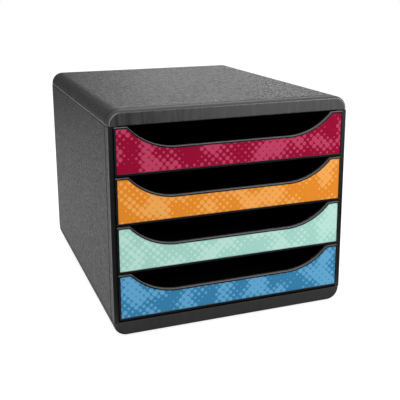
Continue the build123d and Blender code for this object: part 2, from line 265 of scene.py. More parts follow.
cloth_black, tree = new_material("black cloth")
matt = add_node(tree, "ShaderNodeBsdfDiffuse", {"Color": linear(CLOTH_BLACK)})
add_node(tree, "ShaderNodeOutputMaterial", {"Surface": matt})
for name, corners in CLOTHS.items():
    mesh = bpy.data.meshes.new(name)
    mesh.from_pydata(corners, [], [range(len(corners))])
    mesh.materials.append(cloth_black)
    cloth = bpy.data.objects.new(name, mesh)
    bpy.context.scene.collection.objects.link(cloth)
    cloth.visible_camera = cloth.visible_diffuse = cloth.visible_shadow = False
    print(name, "with", len(corners), "corners")

# %% [markdown]
# ## The casing plastic
# The cover, base, side panels and back are polystyrene, coloured grey-black in the mass and
# injection moulded. The mould's walls are etched with a fine leather grain, which hides
# scratches and breaks up reflections. Real grain of this kind has cells of about 0.8 mm. They
# are drawn 2.6 mm wide here, because finer ones would vanish in the picture. A cell texture gives
# the pebbles, a noise gives the pits in them, and both are pressed into the surface as a bump.
# The tree reads places on the piece in millimetres, so each width below is a plain number of them.

# %% The relief of the grain
GRAIN_CELL = 2.6
GRAIN_PITS = 1.1
GRAIN_DEPTH = 0.40 * MM
VALLEY_SHARE = 0.22
PIT_SHARE = 0.35

casing, tree = new_material("moulded polystyrene, leather grain")
place = add_node(tree, "ShaderNodeTexCoord")
in_mm = add_node(tree, "ShaderNodeMapping", {
    "Vector": place.outputs["Object"], "Scale": (1 / MM,) * 3,
})
wander = add_node(tree, "ShaderNodeTexNoise", {"Vector": in_mm, "Scale": 1 / (2 * GRAIN_CELL)})
bent = add_node(tree, "ShaderNodeVectorMath", {
    0: wander.outputs["Color"], 1: (GRAIN_CELL,) * 3, 2: in_mm,
}, operation="MULTIPLY_ADD")
cells = add_node(tree, "ShaderNodeTexVoronoi", {
    "Vector": bent, "Scale": 1 / GRAIN_CELL,
}, feature="DISTANCE_TO_EDGE")
pebbles = add_node(tree, "ShaderNodeMapRange", {
    "Value": cells.outputs["Distance"], "From Max": VALLEY_SHARE,
}, interpolation_type="SMOOTHSTEP")
pits = add_node(tree, "ShaderNodeTexNoise", {
    "Vector": in_mm, "Scale": 1 / GRAIN_PITS, "Detail": 1.0,
})
relief = add_node(tree, "ShaderNodeMath", {
    0: pits, 1: PIT_SHARE, 2: pebbles,
}, operation="MULTIPLY_ADD")
print("grain cells:", GRAIN_CELL, "mm, pits:", GRAIN_PITS, "mm")

# %% [markdown]
# A grained surface is never one grey. Its valleys hold shade and a little dirt, so they are drawn
# darker than its pebbles. The melt flows in slow bands of lighter and darker grey. The etching
# leaves some patches duller than others, which a quicker noise gives to the roughness.

# %% The tones of the grain
VALLEY_SHADE = 0.35
PEBBLE_SHADE = 1.1
MOTTLE_WIDTH = 4.0
MOTTLE_ROUGHNESS = (0.40, 0.64)
FLOW_WIDTH = 70.0
CASING_GREY = "2c2c2d"
CASING_GREY_LIGHT = "343435"

mottle = add_node(tree, "ShaderNodeTexNoise", {
    "Vector": in_mm, "Scale": 1 / MOTTLE_WIDTH, "Detail": 3.0, "Roughness": 0.6,
})
dull = add_node(tree, "ShaderNodeMapRange", {
    "Value": mottle, "From Min": NOISE_LOW, "From Max": NOISE_HIGH,
    "To Min": MOTTLE_ROUGHNESS[0], "To Max": MOTTLE_ROUGHNESS[1],
})
flow = add_node(tree, "ShaderNodeTexNoise", {
    "Vector": in_mm, "Scale": 1 / FLOW_WIDTH, "Detail": 2.0,
})
tone = add_node(tree, "ShaderNodeMix", {
    0: flow, 6: linear(CASING_GREY), 7: linear(CASING_GREY_LIGHT),
}, data_type="RGBA")
valleys = add_node(tree, "ShaderNodeMapRange", {
    "Value": pebbles, "To Min": VALLEY_SHADE, "To Max": PEBBLE_SHADE,
})
grain_tone = add_node(tree, "ShaderNodeMix", {
    0: 1.0, 6: tone.outputs[2], 7: valleys,
}, data_type="RGBA", blend_type="MULTIPLY")
print("grained greys:", CASING_GREY, "to", CASING_GREY_LIGHT)

# %% [markdown]
# Not all of the skin is grained. On the cover and the base it stops at a thin line that runs round
# the case, and the band in front of that line is smooth. The line and the bevels along the seams
# are painted near-black: dust, and painted shade for the shadow in the groove and in the gaps
# between the parts. Each of these places is a mask: it compares the depth or the height of a
# point with the CAD model's, and gives 1 inside the place and 0 outside it.

# %% Masks for the grain, the dust and the painted shade
BAND_DEPTH = 12.5
LINE_WIDTH = 1.4
DUST_AND_SHADE_SPREAD = 0.3
GRAIN_FADE = 0.2
SEAM_BEVEL = 0.8

front_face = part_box("top_cover")[0].y / MM
cover_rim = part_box("top_cover")[0].z / MM
base_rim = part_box("base_tray")[1].z / MM
line_middle = front_face + BAND_DEPTH + LINE_WIDTH / 2

axes = add_node(tree, "ShaderNodeSeparateXYZ", {"Vector": in_mm})
depth, height = axes.outputs["Y"], axes.outputs["Z"]
behind_line = add_node(tree, "ShaderNodeMapRange", {
    "Value": depth, "From Min": line_middle - GRAIN_FADE, "From Max": line_middle + GRAIN_FADE,
})
on_panel = add_node(tree, "ShaderNodeMath", {
    0: height, 1: (cover_rim + base_rim) / 2, 2: (cover_rim - base_rim) / 2,
}, operation="COMPARE")
grained = add_node(tree, "ShaderNodeMath", {0: behind_line, 1: on_panel}, operation="MAXIMUM")
in_line = add_node(tree, "ShaderNodeMath", {
    0: depth, 1: line_middle, 2: LINE_WIDTH / 2 + DUST_AND_SHADE_SPREAD,
}, operation="COMPARE")
upper_bevel = add_node(tree, "ShaderNodeMath", {
    0: height, 1: cover_rim - SEAM_BEVEL / 2, 2: SEAM_BEVEL / 2,
}, operation="COMPARE")
lower_bevel = add_node(tree, "ShaderNodeMath", {
    0: height, 1: base_rim + SEAM_BEVEL / 2, 2: SEAM_BEVEL / 2,
}, operation="COMPARE")
in_seam = add_node(tree, "ShaderNodeMath", {0: upper_bevel, 1: lower_bevel}, operation="MAXIMUM")
# Dust and painted shade: the groove line and the seam bevels are painted near-black, standing in
# for their shadow.
dust_and_shade = add_node(tree, "ShaderNodeMath", {0: in_line, 1: in_seam}, operation="MAXIMUM")
print("grain starts behind y =", round(line_middle, 1), "mm")
print("rims at z =", round(cover_rim, 1), "and", round(base_rim, 1), "mm")

# %% [markdown]
# Two edges get painted highlights: a pale grey and a low roughness draw them as fine bright
# lines. They are the lower rim of the cover's sides, and the front edge where it rolls over at the
# corners.
# The cover's front face has no grain either. It is polished, so it is the one place on the casing
# that mirrors the studio. Its mask reads the direction of the surface, which points forwards there.

# %% Masks for the painted highlights and the glossy front
SEAM_ROUND = 1.0
HIGHLIGHT_WIDTH = 0.4
HIGHLIGHT_SETBACK = 0.05
CORNER_START = 13.6
CORNER_FULL = 8.6
CORNER_HIGHLIGHT = 0.5
FRONTAL = (-0.90, -0.98)

side_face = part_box("top_cover")[1].x / MM
rear_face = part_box("top_cover")[1].y / MM
highlight_middle = front_face + HIGHLIGHT_SETBACK + HIGHLIGHT_WIDTH / 2

lowest = add_node(tree, "ShaderNodeMath", {
    0: height, 1: cover_rim + SEAM_ROUND / 2, 2: SEAM_ROUND / 2,
}, operation="COMPARE")
on_side = add_node(tree, "ShaderNodeMath", {
    0: depth, 1: (front_face + rear_face) / 2, 2: (rear_face - front_face) / 2 - 2 * SEAM_ROUND,
}, operation="COMPARE")
on_rim = add_node(tree, "ShaderNodeMath", {0: lowest, 1: on_side}, operation="MULTIPLY")
on_cover = add_node(tree, "ShaderNodeMath", {0: height, 1: cover_rim}, operation="GREATER_THAN")
turning = add_node(tree, "ShaderNodeMath", {
    0: depth, 1: highlight_middle, 2: HIGHLIGHT_WIDTH / 2,
}, operation="COMPARE")
sideways = add_node(tree, "ShaderNodeMath", {0: axes.outputs["X"]}, operation="ABSOLUTE")
at_corner = add_node(tree, "ShaderNodeMapRange", {
    "Value": sideways, "From Min": side_face - CORNER_START, "From Max": side_face - CORNER_FULL,
    "To Max": CORNER_HIGHLIGHT,
})
on_front_edge = add_node(tree, "ShaderNodeMath", {0: turning, 1: on_cover}, operation="MULTIPLY")
front_highlight = add_node(tree, "ShaderNodeMath", {
    0: on_front_edge, 1: at_corner,
}, operation="MULTIPLY")
# Painted highlight mask: the lower side rims and the rolled front corners are painted pale.
highlighted = add_node(tree, "ShaderNodeMath", {0: on_rim, 1: front_highlight}, operation="MAXIMUM")

facing = add_node(tree, "ShaderNodeSeparateXYZ", {"Vector": place.outputs["Normal"]})
forwards = add_node(tree, "ShaderNodeMapRange", {
    "Value": facing.outputs["Y"], "From Min": FRONTAL[0], "From Max": FRONTAL[1],
})
glossy_face = add_node(tree, "ShaderNodeMath", {0: forwards, 1: on_cover}, operation="MULTIPLY")
# The widths printed here are those of the painted highlights.
print("front edge is rubbed over", HIGHLIGHT_WIDTH, "mm, rim over", SEAM_ROUND, "mm")

# %% [markdown]
# The masks now pick the colour, from the lowest layer to the one on top: skin, dust with painted
# shade, then painted highlights. Polishing a mould leaves faint upright streaks in the smooth band,
# which are a noise that is stretched upwards. The painted highlights on the rims are palest at the
# back.

# %% The colours of the casing
BAND_GREY = "2d2d2e"
# The near-black below is dust and painted shade in the groove line and the seam bevels.
DUST_AND_SHADE_BLACK = "0b0b0b"
# The two pale greys below are painted highlights, lighter towards the back.
EDGE_HIGHLIGHT_GREY = "8a8a8c"
EDGE_HIGHLIGHT_REAR_GREY = "d0d0d2"
STREAK_WIDTH = 5.0
STREAK_LENGTH = 50.0
STREAK_TONE = (0.88, 1.12)

streaks = add_node(tree, "ShaderNodeMapping", {
    "Vector": in_mm, "Scale": (1 / STREAK_WIDTH, 1 / STREAK_WIDTH, 1 / STREAK_LENGTH),
})
polish = add_node(tree, "ShaderNodeTexNoise", {"Vector": streaks, "Scale": 1.0, "Detail": 3.0})
band_tone = add_node(tree, "ShaderNodeMapRange", {
    "Value": polish, "From Min": NOISE_LOW, "From Max": NOISE_HIGH,
    "To Min": STREAK_TONE[0], "To Max": STREAK_TONE[1],
})
band = add_node(tree, "ShaderNodeMix", {
    0: 1.0, 6: linear(BAND_GREY), 7: band_tone,
}, data_type="RGBA", blend_type="MULTIPLY")
skin = add_node(tree, "ShaderNodeMix", {
    0: grained, 6: band.outputs[2], 7: grain_tone.outputs[2],
}, data_type="RGBA")
# Dust and painted shade darken the groove line and the seam bevels.
dust_and_shade_tone = add_node(tree, "ShaderNodeMix", {
    0: dust_and_shade, 6: skin.outputs[2], 7: linear(DUST_AND_SHADE_BLACK),
}, data_type="RGBA")
rearwards = add_node(tree, "ShaderNodeMapRange", {
    "Value": depth, "From Min": front_face, "From Max": rear_face,
})
highlight_tone = add_node(tree, "ShaderNodeMix", {
    0: rearwards, 6: linear(EDGE_HIGHLIGHT_GREY), 7: linear(EDGE_HIGHLIGHT_REAR_GREY),
}, data_type="RGBA")
# Painted highlights are laid over the rest of the colour.
colour = add_node(tree, "ShaderNodeMix", {
    0: highlighted, 6: dust_and_shade_tone.outputs[2], 7: highlight_tone.outputs[2],
}, data_type="RGBA")
print("casing colours:", BAND_GREY, DUST_AND_SHADE_BLACK, EDGE_HIGHLIGHT_GREY, EDGE_HIGHLIGHT_REAR_GREY)

# %% [markdown]
# The same masks pick the shine. Grained skin and the smooth band are satin, the dusty and shaded
# line and seams are the dullest, and the painted highlights are the glossiest. The polished front
# face mirrors the most, and unevenly along its streaks. The grain's relief stops where the skin is
# smooth or painted with a highlight, so it sets the strength of the bump.

# %% The shine of the casing
POLYSTYRENE_IOR = 1.59
SKIN_SPECULAR = 0.25
BAND_ROUGHNESS = 0.58
FRONT_ROUGHNESS = (0.18, 0.42)
FRONT_SPECULAR = (0.6, 1.0)
DUST_AND_SHADE_ROUGHNESS = 0.9
EDGE_HIGHLIGHT_ROUGHNESS = 0.25

polished = add_node(tree, "ShaderNodeMapRange", {
    "Value": polish, "From Min": NOISE_LOW, "From Max": NOISE_HIGH,
    "To Min": FRONT_ROUGHNESS[0], "To Max": FRONT_ROUGHNESS[1],
})
band_shine = add_node(tree, "ShaderNodeMix", {0: glossy_face, 2: BAND_ROUGHNESS, 3: polished})
skin_shine = add_node(tree, "ShaderNodeMix", {0: grained, 2: band_shine, 3: dull})
dust_and_shade_shine = add_node(tree, "ShaderNodeMix", {0: dust_and_shade, 2: skin_shine, 3: DUST_AND_SHADE_ROUGHNESS})
shine = add_node(tree, "ShaderNodeMix", {0: highlighted, 2: dust_and_shade_shine, 3: EDGE_HIGHLIGHT_ROUGHNESS})
unhighlighted = add_node(tree, "ShaderNodeMath", {0: grained, 1: highlighted}, operation="SUBTRACT")
bump = add_node(tree, "ShaderNodeBump", {
    "Strength": unhighlighted, "Distance": GRAIN_DEPTH, "Height": relief,
})
film = add_node(tree, "ShaderNodeMapRange", {
    "Value": polish, "From Min": NOISE_LOW, "From Max": NOISE_HIGH,
    "To Min": FRONT_SPECULAR[0], "To Max": FRONT_SPECULAR[1],
})
mirroring = add_node(tree, "ShaderNodeMix", {0: glossy_face, 2: SKIN_SPECULAR, 3: film})
surface = add_node(tree, "ShaderNodeBsdfPrincipled", {
    "Base Color": colour.outputs[2], "Roughness": shine, "Normal": bump, "IOR": POLYSTYRENE_IOR,
    "Specular IOR Level": mirroring,
})
add_node(tree, "ShaderNodeOutputMaterial", {"Surface": surface})
print("finished:", casing.name)

# %% [markdown]
# ## The black plastic of the frames and trays
# The runner frames and the trays are black polystyrene from a polished mould. Such a surface is
# satin: it has no grain, but the melt leaves faint waves, and handling leaves patches that are a
# little duller. Two noise textures do this, one for the waves and one for the patches. The upper
# edges of the drawer fronts get a painted highlight: a mask picks what faces up and lies at the
# front, and paints it greyer and glossier.

# %% Black plastic
SATIN_ROUGHNESS = (0.25, 0.37)
WAVE_WIDTH = 9.0
WAVE_DEPTH = 0.05 * MM
WAVE_STRENGTH = 0.5
PATCH_WIDTH = 38.0
PATCH_BLACK = "1a1a1b"
# The pale grey below is a painted highlight on the upper edges of the drawer fronts.
LIP_HIGHLIGHT_GREY = "6a6a6c"
LIP_HIGHLIGHT_ROUGHNESS = 0.26
UPWARD = (0.2, 0.6)


def black_plastic(name, shade, specular, highlight_from):
    """Return a satin black plastic, with a painted highlight where it faces up in front of the
    depth highlight_from.
    """
    material, tree = new_material(name)
    place = add_node(tree, "ShaderNodeTexCoord")
    in_mm = add_node(tree, "ShaderNodeMapping", {
        "Vector": place.outputs["Object"], "Scale": (1 / MM,) * 3,
    })
    waves = add_node(tree, "ShaderNodeTexNoise", {
        "Vector": in_mm, "Scale": 1 / WAVE_WIDTH, "Detail": 1.0,
    })
    patches = add_node(tree, "ShaderNodeTexNoise", {
        "Vector": in_mm, "Scale": 1 / PATCH_WIDTH, "Detail": 3.0,
    })
    dull = add_node(tree, "ShaderNodeMapRange", {
        "Value": patches, "From Min": NOISE_LOW, "From Max": NOISE_HIGH,
        "To Min": SATIN_ROUGHNESS[0], "To Max": SATIN_ROUGHNESS[1],
    })
    tone = add_node(tree, "ShaderNodeMix", {
        0: patches, 6: linear(shade), 7: linear(PATCH_BLACK),
    }, data_type="RGBA")
    spot = add_node(tree, "ShaderNodeSeparateXYZ", {"Vector": in_mm})
    facing = add_node(tree, "ShaderNodeSeparateXYZ", {"Vector": place.outputs["Normal"]})
    upwards = add_node(tree, "ShaderNodeMapRange", {
        "Value": facing.outputs["Z"], "From Min": UPWARD[0], "From Max": UPWARD[1],
    })
    at_front_lip = add_node(tree, "ShaderNodeMath", {
        0: spot.outputs["Y"], 1: highlight_from,
    }, operation="LESS_THAN")
    # Painted highlight: what faces up in front of the depth limit is painted pale grey.
    highlighted = add_node(tree, "ShaderNodeMath", {0: upwards, 1: at_front_lip}, operation="MULTIPLY")
    colour = add_node(tree, "ShaderNodeMix", {
        0: highlighted, 6: tone.outputs[2], 7: linear(LIP_HIGHLIGHT_GREY),
    }, data_type="RGBA")
    shine = add_node(tree, "ShaderNodeMix", {0: highlighted, 2: dull, 3: LIP_HIGHLIGHT_ROUGHNESS})
    bump = add_node(tree, "ShaderNodeBump", {
        "Strength": WAVE_STRENGTH, "Distance": WAVE_DEPTH, "Height": waves,
    })
    surface = add_node(tree, "ShaderNodeBsdfPrincipled", {
        "Base Color": colour.outputs[2], "Roughness": shine, "Normal": bump,
        "IOR": POLYSTYRENE_IOR, "Specular IOR Level": specular,
    })
    add_node(tree, "ShaderNodeOutputMaterial", {"Surface": surface})
    return material


print("waves are", WAVE_WIDTH, "mm wide, patches", PATCH_WIDTH, "mm")

# %% [markdown]
# The trays are darker than the frames and mirror less, so their rims set off the prints. Their
# painted highlights reach a few millimetres back from the face of the drawers. The frames lie
# wholly behind that face, so none of their edges gets one.

# %% The plastic of the frames and that of the trays
FRAME_BLACK = "171718"
FRAME_SPECULAR = 0.4
TRAY_BLACK = "0f0f10"
TRAY_SPECULAR = 0.15
LIP_HIGHLIGHT_DEPTH = 3.5

drawer_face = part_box("crimson_drawer_tray")[0].y / MM
frame_black = black_plastic("moulded polystyrene, satin black frame", FRAME_BLACK,
                            FRAME_SPECULAR, drawer_face)
tray_black = black_plastic("moulded polystyrene, satin black tray", TRAY_BLACK,
                           TRAY_SPECULAR, drawer_face + LIP_HIGHLIGHT_DEPTH)
print("black plastics:", frame_black.name, "and", tray_black.name)

# %% [markdown]
# ## The printed inserts
# Each drawer front holds a plate with a tone-on-tone print. The print here is a plain halftone
# screen, the oldest way to print a soft pattern with one ink: dots stand on a square grid that
# is turned by 45 degrees, and only their size changes. Where they are small the ground shows,
# and where they grow past half a step they join into a light field with small dark gaps.
# In the tree, each point finds the middle of its grid cell, reads one smooth noise there, and is
# inked if it lies nearer to that middle than the radius that the noise gives.

# %% Printed plastic
DOT_STEP = 6.0
SCREEN_ANGLE = 45.0
SWELL_WIDTH = 30.0
SWELL_RANGE = (0.36, 0.62)
LARGEST_DOT = 0.60
DOT_EDGE = 0.05
GROUND_ROUGHNESS = 0.48
INK_ROUGHNESS = 0.40
PRINT_SPECULAR = 0.08
PLATE_GRAIN = 0.8 * MM
PLATE_GRAIN_DEPTH = 0.02 * MM
PLATE_GRAIN_STRENGTH = 0.3


def printed_plastic(name, ground, ink):
    """Return a plate with a halftone screen of one ink colour on a ground colour."""
    material, tree = new_material(name)
    place = add_node(tree, "ShaderNodeTexCoord")
    grid = add_node(tree, "ShaderNodeMapping", {
        "Vector": place.outputs["Object"], "Rotation": (0.0, math.radians(SCREEN_ANGLE), 0.0),
        "Scale": (1 / (DOT_STEP * MM),) * 3,
    })
    flat = add_node(tree, "ShaderNodeVectorMath", {
        0: grid, 1: (1.0, 0.0, 1.0),
    }, operation="MULTIPLY")
    cell = add_node(tree, "ShaderNodeVectorMath", {0: flat}, operation="FLOOR")
    middle = add_node(tree, "ShaderNodeVectorMath", {0: cell, 1: (0.5, 0.0, 0.5)}, operation="ADD")
    reach = add_node(tree, "ShaderNodeVectorMath", {0: flat, 1: middle}, operation="DISTANCE")
    swell = add_node(tree, "ShaderNodeTexNoise", {
        "Vector": middle, "Scale": DOT_STEP / SWELL_WIDTH, "Detail": 1.0,
    })
    radius = add_node(tree, "ShaderNodeMapRange", {
        "Value": swell, "From Min": SWELL_RANGE[0], "From Max": SWELL_RANGE[1],
        "To Min": 0.0, "To Max": LARGEST_DOT,
    })
    depth = add_node(tree, "ShaderNodeMath", {
        0: radius, 1: reach.outputs["Value"],
    }, operation="SUBTRACT")
    inked = add_node(tree, "ShaderNodeMapRange", {
        "Value": depth, "From Min": -DOT_EDGE, "From Max": DOT_EDGE,
    }, interpolation_type="SMOOTHSTEP")
    colour = add_node(tree, "ShaderNodeMix", {
        0: inked, 6: linear(ground), 7: linear(ink),
    }, data_type="RGBA")
    grain = add_node(tree, "ShaderNodeTexNoise", {
        "Vector": place.outputs["Object"], "Scale": 1 / PLATE_GRAIN,
    })
    bump = add_node(tree, "ShaderNodeBump", {
        "Strength": PLATE_GRAIN_STRENGTH, "Distance": PLATE_GRAIN_DEPTH, "Height": grain,
    })
    shine = add_node(tree, "ShaderNodeMapRange", {
        "Value": inked, "To Min": GROUND_ROUGHNESS, "To Max": INK_ROUGHNESS,
    })
    surface = add_node(tree, "ShaderNodeBsdfPrincipled", {
        "Base Color": colour.outputs[2], "Roughness": shine, "Normal": bump,
        "Specular IOR Level": PRINT_SPECULAR,
    })
    add_node(tree, "ShaderNodeOutputMaterial", {"Surface": surface})
    return material


print("dots stand every", DOT_STEP, "mm, turned by", SCREEN_ANGLE, "degrees")

# %% [markdown]
# Each drawer has its own colour. A print takes two tones of it: a full one for the ground, and a
# lighter one for the dots, as if some white were mixed into the same ink.

# %% The four prints
INKS = {
    # colour: (ground, ink)
    "crimson": ("8b002c", "b03a5a"),
    "orange": ("d78122", "e39d4f"),
    "mint": ("9ac9bc", "b0d6cb"),
    "blue": ("3278a2", "5b9ec6"),
}
prints = {colour: printed_plastic(f"{colour} print on polystyrene", ground, ink)
          for colour, (ground, ink) in INKS.items()}
print("printed plates:", ", ".join(prints))

# %% [markdown]
# ## Rubber and zinc
# The feet are black rubber, dull and faintly uneven, so that they grip. The screws are steel with
# a bright zinc plating: a metal whose reflection takes on its own colour, with fine grain from the
# bath.

# %% Rubber and zinc
RUBBER_BLACK = "161616"
RUBBER_BLOOM = "242424"
RUBBER_ROUGHNESS = 0.78
RUBBER_IOR = 1.52
SPECKLE_WIDTH = 0.7 * MM
SPECKLE_DEPTH = 0.08 * MM
SPECKLE_STRENGTH = 0.6
ZINC_GREY = "b9bdc2"
ZINC_BRIGHT = "d3d6d8"
ZINC_ROUGHNESS = (0.24, 0.42)
CRYSTAL_WIDTH = 0.5 * MM

rubber, tree = new_material("moulded black rubber")
place = add_node(tree, "ShaderNodeTexCoord")
speckle = add_node(tree, "ShaderNodeTexNoise", {
    "Vector": place.outputs["Object"], "Scale": 1 / SPECKLE_WIDTH, "Detail": 3.0,
})
tone = add_node(tree, "ShaderNodeMix", {
    0: speckle, 6: linear(RUBBER_BLACK), 7: linear(RUBBER_BLOOM),
}, data_type="RGBA")
bump = add_node(tree, "ShaderNodeBump", {
    "Strength": SPECKLE_STRENGTH, "Distance": SPECKLE_DEPTH, "Height": speckle,
})
surface = add_node(tree, "ShaderNodeBsdfPrincipled", {
    "Base Color": tone.outputs[2], "Roughness": RUBBER_ROUGHNESS, "Normal": bump,
    "IOR": RUBBER_IOR,
})
add_node(tree, "ShaderNodeOutputMaterial", {"Surface": surface})

zinc, tree = new_material("zinc plated steel")
place = add_node(tree, "ShaderNodeTexCoord")
bath = add_node(tree, "ShaderNodeTexNoise", {
    "Vector": place.outputs["Object"], "Scale": 1 / CRYSTAL_WIDTH, "Detail": 2.0,
})
tone = add_node(tree, "ShaderNodeMix", {
    0: bath, 6: linear(ZINC_GREY), 7: linear(ZINC_BRIGHT),
}, data_type="RGBA")
dull = add_node(tree, "ShaderNodeMapRange", {
    "Value": bath, "To Min": ZINC_ROUGHNESS[0], "To Max": ZINC_ROUGHNESS[1],
})
surface = add_node(tree, "ShaderNodeBsdfPrincipled", {
    "Base Color": tone.outputs[2], "Metallic": 1.0, "Roughness": dull,
})
add_node(tree, "ShaderNodeOutputMaterial", {"Surface": surface})
print("small parts:", rubber.name, "and", zinc.name)

# %% [markdown]
# ## Dressing the CAD pieces
# Each CAD piece carries the name of a material slot from its record. The table below says which
# finish each slot gets, and the loop puts it on. The meshes themselves stay untouched.

# %% Dress the CAD pieces
FINISHES = {
    "casing": casing,
    "inner_frame": frame_black,
    "drawer_tray": tray_black,
    "foot_rubber": rubber,
    "screw_steel": zinc,
}
FINISHES.update({f"insert_{colour}": material for colour, material in prints.items()})

for part in frame["record"]["subparts"]:
    piece = nodes[part["node"]]
    piece.material_slots[0].material = FINISHES[part["material_slot"]]
print("dressed", len(nodes), "pieces with", len(FINISHES), "finishes")

# %% [markdown]
# ## Screws and feet from one rule each
# Four equal screws hold the base, and four equal feet carry it. Things that repeat are made with
# Geometry Nodes: a small program that builds one of them from named sizes, and sets a copy on each
# point that it is given. Both programs begin and end in the same way, which two helpers write.

# %% Helpers for geometry trees
SHARP_ANGLE = math.radians(35)


def new_shape(name, sizes):
    """Return an empty geometry tree with these named sizes, and the outputs of its input node."""
    tree = bpy.data.node_groups.new(name, "GeometryNodeTree")
    tree.interface.new_socket("Geometry", in_out="OUTPUT", socket_type="NodeSocketGeometry")
    tree.interface.new_socket("Geometry", in_out="INPUT", socket_type="NodeSocketGeometry")
    for size in sizes:
        tree.interface.new_socket(size, in_out="INPUT", socket_type="NodeSocketFloat")
    tree.interface.new_socket("Material", in_out="INPUT", socket_type="NodeSocketMaterial")
    return tree, add_node(tree, "NodeGroupInput").outputs


def end_shape(tree, size, shape):
    """Smooth a shape up to its sharp edges, set it on every point, and give it its material."""
    rounded = add_node(tree, "GeometryNodeSetShadeSmooth", {"Geometry": shape}, domain="FACE")
    bend = add_node(tree, "GeometryNodeInputMeshEdgeAngle")
    sharp = add_node(tree, "ShaderNodeMath", {0: bend, 1: SHARP_ANGLE}, operation="GREATER_THAN")
    crisp = add_node(tree, "GeometryNodeSetShadeSmooth", {
        "Geometry": rounded, "Selection": sharp, "Shade Smooth": False,
    }, domain="EDGE")
    copies = add_node(tree, "GeometryNodeInstanceOnPoints", {
        "Points": size["Geometry"], "Instance": crisp,
    })
    solid = add_node(tree, "GeometryNodeRealizeInstances", {"Geometry": copies})
    dressed = add_node(tree, "GeometryNodeSetMaterial", {
        "Geometry": solid, "Material": size["Material"],
    })
    add_node(tree, "NodeGroupOutput", {"Geometry": dressed})


print("edges stay sharp above", round(math.degrees(SHARP_ANGLE)), "degrees")

# %% [markdown]
# The screws are made the way a screw is made. Each starts with its pan head, whose face points
# down. The head is a disc, and a Set Position node sinks the face towards its rim: slowly in the
# middle and steeply outside, which is the shape of a pan head.

# %% The head of the screw
HEAD_CORNERS = 40
HEAD_STEPS = 2
HEAD_RINGS = 6
DOME_POWER = 4.0
DOME_SINK = 0.4
SCREW_SIZES = {
    "Head radius": 3.4 * MM,
    "Head height": 2.4 * MM,
    "Shank radius": 1.75 * MM,
    "Length": 11.0 * MM,
    "Thread pitch": 1.4 * MM,
    "Thread depth": 0.26,  # a share of the radius
    "Tip length": 2.2 * MM,
    "Recess length": 4.0 * MM,
    "Recess width": 0.9 * MM,
    "Recess depth": 1.2 * MM,
}


def distance_from_axis(tree, spot):
    """Return how far each point lies from the upright axis."""
    level = add_node(tree, "ShaderNodeVectorMath", {
        0: spot, 1: (1.0, 1.0, 0.0),
    }, operation="MULTIPLY")
    return add_node(tree, "ShaderNodeVectorMath", {0: level}, operation="LENGTH").outputs["Value"]


tree, size = new_shape("pan head screw", SCREW_SIZES)
spot = add_node(tree, "GeometryNodeInputPosition")
axes = add_node(tree, "ShaderNodeSeparateXYZ", {0: spot})
half_head = add_node(tree, "ShaderNodeMath", {
    0: size["Head height"], 1: -0.5,
}, operation="MULTIPLY")
face_down = add_node(tree, "ShaderNodeMath", {
    0: size["Head height"], 1: -1.0,
}, operation="MULTIPLY")
disc = add_node(tree, "GeometryNodeMeshCylinder", {
    "Vertices": HEAD_CORNERS, "Side Segments": HEAD_STEPS, "Fill Segments": HEAD_RINGS,
    "Radius": size["Head radius"], "Depth": size["Head height"],
})
drop = add_node(tree, "ShaderNodeCombineXYZ", {"Z": half_head})
lowered = add_node(tree, "GeometryNodeTransform", {
    "Geometry": disc.outputs["Mesh"], "Translation": drop,
})
reach = distance_from_axis(tree, spot)
share = add_node(tree, "ShaderNodeMath", {0: reach, 1: size["Head radius"]}, operation="DIVIDE")
steep = add_node(tree, "ShaderNodeMath", {0: share, 1: DOME_POWER}, operation="POWER")
sink = add_node(tree, "ShaderNodeMath", {0: steep, 1: DOME_SINK}, operation="MULTIPLY")
rise = add_node(tree, "ShaderNodeMath", {0: sink, 1: size["Head height"]}, operation="MULTIPLY")
on_face = add_node(tree, "ShaderNodeMath", {
    0: axes.outputs["Z"], 1: half_head,
}, operation="LESS_THAN")
lift = add_node(tree, "ShaderNodeCombineXYZ", {"Z": rise})
head = add_node(tree, "GeometryNodeSetPosition", {
    "Geometry": lowered, "Selection": on_face, "Offset": lift,
})
print("screw head is", 2 * SCREW_SIZES["Head radius"] / MM, "mm wide")

# %% [markdown]
# The thread is rolled into a plain shank: every point moves in towards the axis by an amount that
# depends on its height and on its angle, and so the groove climbs in a helix. The same step makes
# the shank narrower towards its tip.

# %% The shank of the screw
SHANK_CORNERS = 28
SHANK_STEPS = 80
TIP_WIDTH = 0.35

rod = add_node(tree, "GeometryNodeMeshCylinder", {
    "Vertices": SHANK_CORNERS, "Side Segments": SHANK_STEPS, "Radius": size["Shank radius"],
    "Depth": size["Length"],
})
half_rod = add_node(tree, "ShaderNodeMath", {0: size["Length"], 1: 0.5}, operation="MULTIPLY")
climb = add_node(tree, "ShaderNodeCombineXYZ", {"Z": half_rod})
raised = add_node(tree, "GeometryNodeTransform", {
    "Geometry": rod.outputs["Mesh"], "Translation": climb,
})
angle = add_node(tree, "ShaderNodeMath", {
    0: axes.outputs["Y"], 1: axes.outputs["X"],
}, operation="ARCTAN2")
turns = add_node(tree, "ShaderNodeMath", {
    0: axes.outputs["Z"], 1: size["Thread pitch"],
}, operation="DIVIDE")
phase = add_node(tree, "ShaderNodeMath", {
    0: angle, 1: 1 / math.tau, 2: turns,
}, operation="MULTIPLY_ADD")
wave = add_node(tree, "ShaderNodeMath", {0: phase, 1: 0.5}, operation="PINGPONG")
cut_in = add_node(tree, "ShaderNodeMath", {0: wave, 1: size["Thread depth"]}, operation="MULTIPLY")
ridge = add_node(tree, "ShaderNodeMath", {0: cut_in, 1: -2.0, 2: 1.0}, operation="MULTIPLY_ADD")
tip_start = add_node(tree, "ShaderNodeMath", {
    0: size["Length"], 1: size["Tip length"],
}, operation="SUBTRACT")
taper = add_node(tree, "ShaderNodeMapRange", {
    "Value": axes.outputs["Z"], "From Min": tip_start, "From Max": size["Length"],
    "To Min": 1.0, "To Max": TIP_WIDTH,
})
